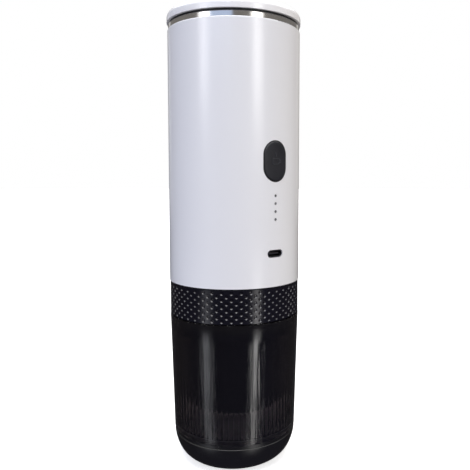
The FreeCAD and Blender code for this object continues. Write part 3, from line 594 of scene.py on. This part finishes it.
def make_collar(look):
    """Black union nut whose side is covered in staggered round dimples."""
    radius = outer_radius("brew_collar")
    bottom, top = low_of("brew_collar"), high_of("brew_collar")
    low, high, middle = bottom + look.edge, top - look.edge, (bottom + top) / 2
    width = FULL_TURN * radius / look.columns / 2
    step = look.row_step
    bm = bmesh.new()
    for row in (-4, -2, 0, 2, 4, -3, -1, 1, 3):
        centre = middle + row * step
        add_dimple(bm, look, 0 if row % 2 else width, low if row == -4 else centre - step, centre,
                   high if row == 4 else centre + step, width)
    add_plain_patch(bm, low, middle - 4 * step, width)
    add_plain_patch(bm, middle + 4 * step, high, width)
    for vert in bm.verts:
        turn = look.first_column + vert.co.x / radius
        vert.co = round_the_maker(turn, radius - vert.co.y, vert.co.z)
    steps = look.columns - 1
    swing(bm, bm.verts[:] + bm.edges[:] + bm.faces[:], FULL_TURN * steps / look.columns, steps, copy=True)
    bmesh.ops.remove_doubles(bm, verts=bm.verts, dist=1e-5)
    bore = radius - look.wall
    neck = bore - look.lip_reach
    lip_top = bottom + look.lip
    upper = [edge for edge in bm.edges if edge.is_boundary and edge.verts[0].co.z > middle]
    lower = [edge for edge in bm.edges if edge.is_boundary and edge.verts[0].co.z < middle]
    for corner in ((radius - look.edge, top), (bore, top), (bore, lip_top), (neck, lip_top),
                   (neck, bottom), (radius - look.edge, bottom)):
        upper = grow(bm, upper, at_radius(*corner))
    bmesh.ops.bridge_loops(bm, edges=upper + lower)
    finish_piece("dimpled_collar", bm, "collar_black", "collar", "brew_collar", sharp=28)


def make_cup(look):
    """Smoke-coloured cup, smooth outside, with upright flutes inside that run out under the rim."""
    bottom, top = low_of("cup"), high_of("cup")
    rim = outer_radius("cup")
    foot = rim - look.flare
    floor_top = bottom + look.floor
    flute_top = top - look.plain_band
    underside_ring, floor_ring = foot - 0.004, foot - 0.006
    corner_reach, corner_height = 0.0005, 0.0006

    def outer(height):
        return foot + (rim - foot) * (height - bottom) / (top - bottom)

    bm = bmesh.new()
    bmesh.ops.create_circle(bm, cap_ends=True, segments=look.flutes * look.corners, radius=underside_ring,
                            matrix=Matrix.Translation((0, 0, bottom)))
    edges = [edge for edge in bm.edges if edge.is_boundary]
    for height in [bottom + (top - bottom) * i / 6 for i in range(7)]:
        edges = grow(bm, edges, at_radius(outer(height), height))
    edges = grow(bm, edges, at_radius(rim - look.wall, top))
    edges = grow(bm, edges, at_radius(outer(flute_top) - look.wall, flute_top))

    def fluted(height, depth):
        def place(co):
            turn = math.atan2(co.y, co.x) % FULL_TURN
            from_cusp = 2 * (turn * look.flutes / FULL_TURN % 1) - 1
            return at_radius(outer(height) - look.wall - depth * from_cusp ** 2, height)(co)
        return place

    for part in (0.25, 0.5, 0.75, 1.0):
        height = flute_top - look.flute_fade * part
        edges = grow(bm, edges, fluted(height, look.flute_depth * math.sin(part * QUARTER_TURN)))
    for height in ((floor_top + flute_top) / 2, floor_top + corner_height):
        edges = grow(bm, edges, fluted(height, look.flute_depth))
    for radius in (outer(floor_top) - look.wall - look.flute_depth - corner_reach, floor_ring):
        edges = grow(bm, edges, at_radius(radius, floor_top))
    bmesh.ops.contextual_create(bm, geom=edges)
    close_up(bm)
    round_over(bm, ring_edges(bm, rim, top), look.rim_rounding)
    round_over(bm, ring_edges(bm, foot, bottom), look.foot_rounding)
    finish_piece("fluted_cup", bm, "smoke_clear", "cup", "cup", sharp=50)


def make_dish(look):
    """Rounded dish under the cup, with the lip and shadow groove where it meets the cup."""
    low, high = low_of("cup_base"), high_of("cup_base")
    rim = outer_radius("cup_base")
    ledge = high - look.groove
    bm = bmesh.new()
    lip = bm.verts.new((rim, 0, ledge))
    heading = look.heel_turn + look.side_turn + look.lip_turn
    for radius, turn in ((look.lip_radius, look.lip_turn), (look.side_radius, look.side_turn),
                         (look.heel_radius, look.heel_turn)):
        centre = lip.co + Vector((-radius * math.sin(heading), 0, radius * math.cos(heading)))
        lip = verts_in(swing(bm, [lip], turn, BEND_STEPS, centre, (0, 1, 0)))[0]
        heading -= turn
    foot = lip.co.x
    bmesh.ops.remove_doubles(bm, verts=bm.verts, dist=MERGE)
    start, end = (pick(bm.verts, key=lambda vert: vert.co.z) for pick in (min, max))
    hollow_top = low + look.foot_hollow
    inner = chain(bm, [(foot - look.foot_edge, low), (foot - look.foot_land, low),
                       (foot - look.foot_land - look.foot_hollow, hollow_top), (0, hollow_top)])
    bm.edges.new((start, inner[0]))
    neck = rim - look.groove_inset
    outer = chain(bm, [(neck, ledge), (neck, high), (neck - look.wall, high), (neck - look.wall, ledge),
                       (foot, low + look.wall), (0, low + look.wall)])
    bm.edges.new((end, outer[0]))
    turn_section(bm, DISH_STEPS)
    round_over(bm, ring_edges(bm, rim, ledge), look.lip_rounding)
    finish_piece("rounded_dish", bm, "smoke_dense", "cup", "cup_base", slot="smoke_clear", sharp=30)


def make_mat(look):
    """Pale grey disc in the cup's floor: painted light that stands in for the light coming through the floor,
    so the zone under the brewing chamber shows pale.
    """
    top = low_of("cup") + look.floor + look.mat / 2
    radius = outer_radius("cup") - look.flare - look.wall - 3 * look.flute_depth
    bm = bmesh.new()
    bmesh.ops.create_cone(bm, cap_ends=True, segments=RING_STEPS, radius1=radius, radius2=radius,
                          depth=look.mat, matrix=Matrix.Translation((0, 0, top - look.mat / 2)))
    round_over(bm, ring_edges(bm, radius, top), look.mat / 4)
    finish_piece("floor_mat", bm, "mat_painted_light", "cup", slot="smoke_clear", sharp=40)


def make_chamber_lip(look):
    """Lip round the lower edge of the brewing chamber, coloured grey as a painted highlight, so that it shows
    as a light line in the cup.
    """
    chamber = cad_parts["brew_chamber"]
    low = low_of("brew_chamber")
    high = low + look.lip_height
    corners = [chamber.matrix_world @ vert.co for vert in chamber.data.vertices]
    radius = max(corner.xy.length for corner in corners if corner.z < high)
    inner, outer = radius - look.lip_reach, radius + look.lip_reach
    bm = bmesh.new()
    section = chain(bm, [(inner, low), (outer, low), (outer, high), (inner, high)])
    bm.edges.new((section[0], section[-1]))
    turn_section(bm, RING_STEPS)
    round_over(bm, ring_edges(bm, outer, low) + ring_edges(bm, outer, high), look.lip_reach / 2)
    finish_piece("chamber_lip", bm, "lip_painted_highlight", "brew_head", slot="chamber_black", sharp=40)


def on_face(radius, co):
    """Depth at which a corner lies on a face that is round about the upright axis."""
    return -math.sqrt(radius * radius - co.x * co.x)


def make_button(look):
    """Charcoal button: soft edge, faintly dished face, and the lip and stem behind it."""
    low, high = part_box("power_button")
    frame_low, frame_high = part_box("button_seal")
    width = frame_high.x - frame_low.x - 2 * look.gap
    height = frame_high.z - frame_low.z - 2 * look.gap
    centre = Vector((0, low.y, (frame_low.z + frame_high.z) / 2))
    reach = (height - width) / 2
    face = -low.y
    lip_front = face - look.lip_depth
    lip_back = lip_front - look.lip_thick

    def inset(margin, radius, drop=0.0):
        """Draws the outline in by a margin, on a round face or, without a radius, on a flat one."""
        def place(co):
            end = Vector((0, 0, centre.z + math.copysign(reach, co.z - centre.z)))
            out = Vector((co.x, 0, co.z - end.z)).normalized() * max(width / 2 - margin, 0)
            moved = end + out
            moved.y = drop + (on_face(radius, moved) if radius else 0)
            return moved
        return place

    bm = bmesh.new()
    stand = Matrix.Translation(centre) @ FACING_FRONT @ Matrix.Rotation(math.pi / BUTTON_STEPS, 4, "Z")
    bmesh.ops.create_circle(bm, segments=BUTTON_STEPS, radius=width / 2, matrix=stand)
    outline = bm.edges[:]
    for vert in bm.verts:
        vert.co.z += math.copysign(reach, vert.co.z - centre.z)
        vert.co.y = on_face(face, vert.co) + look.edge
    front = outline
    for turn in (part * QUARTER_TURN for part in (0.3, 0.6, 0.85, 1.0)):
        margin, drop = (look.edge * (1 - part) for part in (math.cos(turn), math.sin(turn)))
        front = grow(bm, front, inset(margin, face, drop))
    for margin, drop in ((0.25, 0.1), (0.5, 0.45), (0.75, 0.8), (1.0, 1.0)):
        front = grow(bm, front, inset(width / 2 * margin, face, look.hollow * drop))
    back = grow(bm, outline, inset(0, lip_front))
    back = grow(bm, back, inset(-look.lip, lip_front))
    back = grow(bm, back, inset(-look.lip, None, -lip_back))

    def round_stem(depth):
        def place(co):
            out = Vector((co.x, 0, co.z - centre.z)).normalized() * look.stem
            return Vector((out.x, depth, centre.z + out.z))
        return place

    for depth in (-lip_back, high.y):
        back = grow(bm, back, round_stem(depth))
    bmesh.ops.contextual_create(bm, geom=back)
    finish_piece("soft_button", bm, "button_charcoal", "button", "power_button", sharp=40)


def draw_line(bm, start, heading, moves, width):
    """Flat ribbon drawn in the plane across the front: straight runs, and bends round a centre."""
    along = Vector((math.cos(heading), 0, math.sin(heading)))
    across = Vector((-along.z, 0, along.x)) * width / 2
    edge = bm.edges.new([bm.verts.new(Vector(start) + side) for side in (across, -across)])
    for run, bend, radius in moves:
        if run:
            edge = grow(bm, [edge], lambda co: co + along * run)[0]
        if bend:
            side = Vector((-along.z, 0, along.x)) * math.copysign(radius, bend)
            centre = (edge.verts[0].co + edge.verts[1].co) / 2 + side
            edge = edges_in(swing(bm, [*edge.verts, edge], bend, BEND_STEPS, centre, (0, -1, 0)))[0]
            along = Matrix.Rotation(-bend, 3, "Y") @ along


def make_button_sign(look):
    """Plain cup sign in low relief on the button's face: its bowl, its rim, its handle and steam."""
    face = -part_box("power_button")[0].y
    middle = (low_of("button_seal") + high_of("button_seal")) / 2
    half = look.sign_width / 2
    bm = bmesh.new()
    for across, up, heading, moves in (
            (-half, 0.7, -QUARTER_TURN, [(half * 0.9, QUARTER_TURN, half * 0.5),
                                         (half, QUARTER_TURN, half * 0.5), (half * 0.9, 0, 0)]),
            (-half * 1.1, 0.7, 0, [(half * 2.2, 0, 0)]),
            (half, 0.35, 0, [(half * 0.2, -math.pi, half * 0.38), (half * 0.3, 0, 0)]),
            (0, 1.1, QUARTER_TURN * 0.5, [(0, QUARTER_TURN, half * 0.35), (0, -QUARTER_TURN, half * 0.35)])):
        draw_line(bm, (across, 0, middle + half * up), heading, moves, look.sign_line)
    for vert in bm.verts:
        vert.co.y = on_face(face, vert.co) + look.hollow * 0.3 - look.sign_relief
    ribbon = bmesh.ops.extrude_face_region(bm, geom=bm.faces[:])["geom"]
    bmesh.ops.translate(bm, verts=verts_in(ribbon), vec=(0, 3 * look.sign_relief, 0))
    finish_piece("button_sign", bm, "sign_grey", "button", slot="button_charcoal", sharp=30)


def make_port_contacts(look):
    """Gold contacts on both sides of the charging port's tongue."""
    low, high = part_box("usb_socket")
    middle = (low.z + high.z) / 2
    bm = bmesh.new()
    for side in (-1, 1):
        verts = bmesh.ops.create_grid(bm, x_segments=look.contacts, y_segments=1, size=0.5)["verts"]
        for vert in verts:
            vert.co = Vector((vert.co.x * look.spread, low.y + look.setback + vert.co.y * look.run,
                              middle + side * look.tongue / 2))
    rims = bmesh.ops.inset_individual(bm, faces=bm.faces[:], thickness=look.gap / 2, use_even_offset=True)
    bmesh.ops.delete(bm, geom=rims["faces"], context="FACES")
    pads = bmesh.ops.extrude_face_region(bm, geom=bm.faces[:])["geom"]
    for vert in verts_in(pads):
        vert.co.z += math.copysign(look.foil, vert.co.z - middle)
    finish_piece("port_contacts", bm, "contact_gold", "housing", slot="gear_brass", sharp=20)


def helix(name, radius, low, turns, lead, look, male, finish, body):
    """Ridge of a screw thread, wound up the axis. A female thread stands half a turn on from its male one."""
    bm = bmesh.new()
    wall = radius if male else -radius
    foot, tip = look.width / 2, look.width / 5
    section = chain(bm, [(wall - look.root, low - foot), (wall + look.ridge, low - tip),
                         (wall + look.ridge, low + tip), (wall - look.root, low + foot)])
    bm.edges.new((section[-1], section[0]))
    edges = bm.edges[:]
    steps = int(THREAD_STEPS * turns)
    last = swing(bm, section + edges, FULL_TURN * turns, steps, rise=(0, 0, lead * turns / steps))
    for end in (edges, edges_in(last)):
        bmesh.ops.contextual_create(bm, geom=end)
    finish_piece(name, bm, finish, body)


def make_threads(look, collar):
    """Threads of the lid and of the collar. Their leads are those that the joints turn by."""
    skirt = outer_radius("plug_skirt")
    low = low_of("plug_skirt") + look.width / 2
    helix("lid_thread", skirt, low, 1.1, look.lid_lead, look, True, "lid_inner", "lid")
    helix("tank_thread", skirt + look.clearance, low, 1.1, look.lid_lead, look, False, "polished_steel",
          "housing")
    bore = outer_radius("brew_collar") - collar.wall
    low = low_of("brew_base") + look.width / 2
    helix("spigot_thread", bore - look.clearance, low, 1.2, look.collar_lead, look, True, "chamber_black",
          "housing")
    helix("collar_thread", bore, low, 1.2, look.collar_lead, look, False, "collar_black", "collar")


def tall_light(look, name, turn, low, high, width, radiance, tint, feather_across=0.5, feather_up=0.12,
               distance=1.0):
    """Upright soft light that faces the axis, and whose brightness falls away towards its edges."""
    data = bpy.data.lights.new(name, "AREA")
    data.shape = "RECTANGLE"
    data.size, data.size_y = width, high - low
    data.energy = radiance * width * (high - low) * math.pi
    data.color = tint
    data.use_nodes = True
    glow = Nodes(data.node_tree)
    place = glow.put("NewGeometry", {})["Parametric"]

    def fall_away(axis, feather):
        reach = glow.maths("ABSOLUTE", glow.maths("SUBTRACT", glow.axis(place, axis), 0.5))
        return glow.ramp(reach, 0.5, 0.5 - feather, interpolation_type="SMOOTHSTEP")

    strength = glow.maths("MULTIPLY", fall_away("X", feather_across), fall_away("Y", feather_up))
    glow.tree.links.new(strength, glow.tree.nodes["Emission"].inputs["Strength"])
    light = add_object(name, data)
    spot = round_the_maker(look.azimuth + math.radians(turn), distance, (low + high) / 2)
    light.location = spot
    light.rotation_euler = (Vector((0, 0, spot.z)) - spot).to_track_quat("-Z", "Y").to_euler()
    light.visible_camera = light.visible_transmission = False
    return light


def make_camera(look):
    data = bpy.data.cameras.new("camera")
    data.lens = look.lens
    data.sensor_width = SENSOR_MM
    data.shift_x, data.shift_y = (pixels / PHOTO_PIXELS for pixels in SHIFT_PIXELS)
    data.clip_start = 0.01
    data.clip_end = 50.0
    camera = add_object("camera", data)
    camera.location = round_the_maker(look.azimuth, look.distance, look.height)
    turned = (Matrix.Rotation(-look.heading, 4, "Z") @ Matrix.Rotation(QUARTER_TURN - look.tilt, 4, "X")
              @ Matrix.Rotation(look.roll, 4, "Z"))
    camera.rotation_euler = turned.to_euler()
    bpy.context.scene.camera = camera


def make_floor(look):
    """Plain pale floor, which glows a little and is left out of reflections."""
    bm = bmesh.new()
    bmesh.ops.create_circle(bm, cap_ends=True, segments=FLOOR_STEPS, radius=FLOOR_RADIUS)
    mesh = bpy.data.meshes.new("floor")
    bm.to_mesh(mesh)
    bm.free()
    skin = Finish("floor_paper", Roughness=0.9, Specular_IOR_Level=0.1, Emission_Color=(1, 1, 1, 1),
                  Emission_Strength=look.paper_glow)
    fibres = skin.blend(skin.noise(0.3, 2.0), (0.90, 0.90, 0.90), (0.92, 0.92, 0.92))
    mesh.materials.append(skin.feed(Base_Color=fibres))
    floor = add_object("floor", mesh)
    floor.visible_diffuse = floor.visible_glossy = floor.visible_transmission = False


def make_lights(look):
    """Soft lights round the maker. Their turns are degrees from the camera, to its right."""
    warm = (1.0, 0.985, 0.965)
    tall_light(look, "key_light", 39, 0.16, 0.81, 0.5, look.key, warm, feather_up=0.4)
    tall_light(look, "key_at_table", 39, -0.29, -0.02, 0.38, look.table_key, warm, feather_up=0.35)
    tall_light(look, "key_on_table", 35, -1.0, -0.19, 0.38, look.table_key, warm)
    for turn, width, radiance in ((23.5, 0.04, 1.7), (52, 0.04, 1.0), (-36.5, 0.06, 0.5), (-64.5, 0.03, 0.5)):
        tall_light(look, "pane_on_table", turn, -1.0, -0.2, width, radiance, (1.0, 0.99, 0.98), 0.3)
    tall_light(look, "fill_light", -51, 0.2, 0.81, 0.5, look.fill, (0.95, 0.95, 0.98), feather_up=0.4)
    tall_light(look, "fill_on_table", -50, -0.9, -0.05, 0.46, look.table_fill, (0.93, 0.95, 1.0))

    # Nearer than the rest: lights that share a plane hide one another in a reflection
    near = {"feather_up": 0.35, "distance": 0.94}
    tall_light(look, "key_streak", 37.5, -0.42, -0.13, 0.25, look.key_streak, (1.0, 0.99, 0.97), **near)
    tall_light(look, "fill_streak", -52, -0.42, -0.13, 0.6, look.fill_streak, (0.95, 0.97, 1.0), **near)
    for turn in (-80, 80):
        bounce = tall_light(look, "table_bounce", turn, 0.005, 0.085, 0.1, look.bounce, (1.0, 1.0, 1.0),
                            distance=0.22)
        bounce.visible_glossy = False
    tall_light(look, "sky_light", -24, 0.38, 1.2, 0.88, look.sky, (0.49, 0.66, 1.0), 0.12)
    tall_light(look, "left_rim_light", -146, 0.0, 1.1, 0.25, look.rim, (0.93, 0.96, 1.0))
    tall_light(look, "right_rim_light", 146, 0.0, 1.1, 0.25, look.rim, (1.0, 0.98, 0.95))

    sun = bpy.data.lights.new("overhead_light", "SUN")
    sun.energy = look.top
    sun.angle = look.top_spread
    overhead = add_object("overhead_light", sun)
    overhead.rotation_euler = round_the_maker(look.azimuth, -0.2, -1.0).to_track_quat("-Z", "Y").to_euler()


def make_air(look):
    """Light of the room: cooler from the left, warmer from the right, and dim where gloss mirrors it."""
    world = bpy.data.worlds.new("studio_air")
    world.use_nodes = True
    bpy.context.scene.world = world
    air = Nodes(world.node_tree)
    direction = air.put("TexCoord", {})["Generated"]
    rise = air.axis(direction, "Z")
    rightward, nearward = (air.vectors("DOT_PRODUCT", direction, round_the_maker(look.azimuth + turn, 1, 0))
                           for turn in (QUARTER_TURN, 0))

    room = air.vectors("ADD", air.vectors("SCALE", (0.158, 0.124, 0.044), rightward), (0.51, 0.493, 0.512))
    table = air.blend(air.ramp(nearward, -0.6, 0.5), (0.042, 0.039, 0.045), (0.125, 0.12, 0.18))
    table = air.vectors("SCALE", table, air.ramp(rightward, -1.0, 0.0, 0.8, 1.0))
    mirrored = air.blend(air.ramp(rise, -0.18, 0.15), table, (0.235, 0.222, 0.21))
    mirrored = air.blend(air.ramp(rise, 0.46, 0.62), mirrored, (look.ceiling,) * 3)
    behind = air.blend(air.ramp(rise, -0.02, 0.12), (0.014, 0.013, 0.013), (0.8, 0.78, 0.76))

    rays = air.put("LightPath", {})
    light = air.blend(rays["Is Glossy Ray"], room, mirrored)
    light = air.blend(rays["Is Transmission Ray"], light, behind)
    light = air.blend(rays["Is Camera Ray"], light, (1.0, 1.0, 1.0))
    air.tree.links.new(light, air.tree.nodes["Background"].inputs["Color"])


class FinishesOperator(bpy.types.Operator):
    """Gives every carried-over node its finish"""

    bl_idname = "espresso.finishes"
    bl_label = "Finishes"

    def execute(self, context):
        FINISHES.update(make_finishes(context.scene.espresso_finish))
        for name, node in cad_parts.items():
            finish = SPECIAL.get(name) or node.material_slots[0].material.name.split(".")[0]
            node.material_slots[0].material = FINISHES[finish]
        return {"FINISHED"}


class CollarOperator(bpy.types.Operator):
    """Makes the dimpled collar"""

    bl_idname = "espresso.collar"
    bl_label = "Dimpled collar"

    def execute(self, context):
        make_collar(context.scene.espresso_collar)
        return {"FINISHED"}


class CupOperator(bpy.types.Operator):
    """Makes the fluted cup and the rounded dish under it"""

    bl_idname = "espresso.cup"
    bl_label = "Cup and dish"

    def execute(self, context):
        make_cup(context.scene.espresso_cup)
        make_dish(context.scene.espresso_dish)
        make_mat(context.scene.espresso_cup)
        make_chamber_lip(context.scene.espresso_cup)
        return {"FINISHED"}


class ButtonOperator(bpy.types.Operator):
    """Makes the power button with its sign, and the port's contacts"""

    bl_idname = "espresso.button"
    bl_label = "Button and port"

    def execute(self, context):
        make_button(context.scene.espresso_button)
        make_button_sign(context.scene.espresso_button)
        make_port_contacts(context.scene.espresso_port)
        return {"FINISHED"}


class ThreadsOperator(bpy.types.Operator):
    """Winds the threads of the lid and collar"""

    bl_idname = "espresso.threads"
    bl_label = "Threads"

    def execute(self, context):
        make_threads(context.scene.espresso_thread, context.scene.espresso_collar)
        return {"FINISHED"}


class StudioOperator(bpy.types.Operator):
    """Sets up the camera, floor and lights"""

    bl_idname = "espresso.studio"
    bl_label = "Studio"

    def execute(self, context):
        context.scene.view_settings.view_transform = "Standard"
        for make in (make_camera, make_floor, make_lights, make_air):
            make(context.scene.espresso_studio)
        return {"FINISHED"}


STEPS = (FinishesOperator, CollarOperator, CupOperator, ButtonOperator, ThreadsOperator, StudioOperator)


class EspressoPanel(bpy.types.Panel):
    """Lists the steps that dress the maker, and their sizes and colours"""

    bl_idname = "VIEW3D_PT_espresso"
    bl_label = "Espresso Maker"
    bl_space_type = "VIEW_3D"
    bl_region_type = "UI"
    bl_category = "Espresso"

    def draw(self, context):
        for step in STEPS:
            self.layout.operator(step.bl_idname)
        for name, look in LOOKS.items():
            box = self.layout.box()
            for field in look.__annotations__:
                box.prop(getattr(context.scene, name), field)


CLASSES = (*LOOKS.values(), *STEPS, EspressoPanel)


def register():
    for item in CLASSES:
        bpy.utils.register_class(item)
    for name, look in LOOKS.items():
        setattr(bpy.types.Scene, name, PointerProperty(type=look))


def unregister():
    for name in LOOKS:
        delattr(bpy.types.Scene, name)
    for item in reversed(CLASSES):
        bpy.utils.unregister_class(item)


def main():
    register()
    bpy.ops.espresso.finishes()
    bpy.ops.espresso.collar()
    bpy.ops.espresso.cup()
    bpy.ops.espresso.button()
    bpy.ops.espresso.threads()
    bpy.ops.espresso.studio()


if __name__ == "__main__":
    main()
